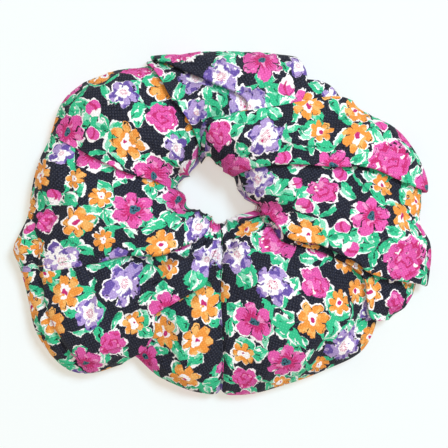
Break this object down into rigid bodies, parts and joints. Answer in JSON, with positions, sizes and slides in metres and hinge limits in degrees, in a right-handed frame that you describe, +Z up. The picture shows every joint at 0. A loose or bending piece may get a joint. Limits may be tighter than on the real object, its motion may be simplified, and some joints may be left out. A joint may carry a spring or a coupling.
{
  "type": "scrunchie",
  "caption": "Gathered fabric hair scrunchie lying flat: a wide printed cotton tube closed into a ring, with an elastic band inside.",
  "frame": {"origin": "on the surface the scrunchie lies on, under the middle of its bounding box", "axes": "+X across the ring, the way it is pulled open and the longest extent; +Z up, through the hole"},
  "size_m": [0.1202, 0.0996, 0.024],
  "materials": {
    "cover_print": "plain-weave cotton, dark ground printed with pink, lilac and orange flowers and green leaves",
    "fabric_back": "unprinted back of the cotton, matte",
    "elastic": "braided elastic, matte",
    "thread": "spun polyester sewing thread"
  },
  "bodies": {
    "left_arc": {"cover_left": "cover_print", "elastic_band": "elastic", "lengthwise_seam_allowance": "fabric_back", "lengthwise_seam_thread": "thread"},
    "front_arc": {"cover_front_left": "cover_print", "cover_front_right": "cover_print", "closing_seam_thread": "thread", "elastic_join_thread": "thread"},
    "rear_arc": {"cover_rear": "cover_print"},
    "right_arc": {"cover_right": "cover_print"}
  },
  "joints": [
    {"name": "stretch", "type": "slide", "parent": "left_arc", "child": "right_arc", "axis": [1, 0, 0], "range_m": [0, 0.06], "stiffness_N_per_m": 80, "deforming": ["elastic_band", "lengthwise_seam_allowance", "lengthwise_seam_thread"]},
    {"name": "front_follow", "type": "slide", "parent": "left_arc", "child": "front_arc", "axis": [1, 0, 0], "range_m": [0, 0.03]},
    {"name": "rear_follow", "type": "slide", "parent": "left_arc", "child": "rear_arc", "axis": [1, 0, 0], "range_m": [0, 0.03]}
  ],
  "couplings": [
    {"joint": "front_follow", "follows": "stretch", "ratio": 0.5},
    {"joint": "rear_follow", "follows": "stretch", "ratio": 0.5}
  ]
}
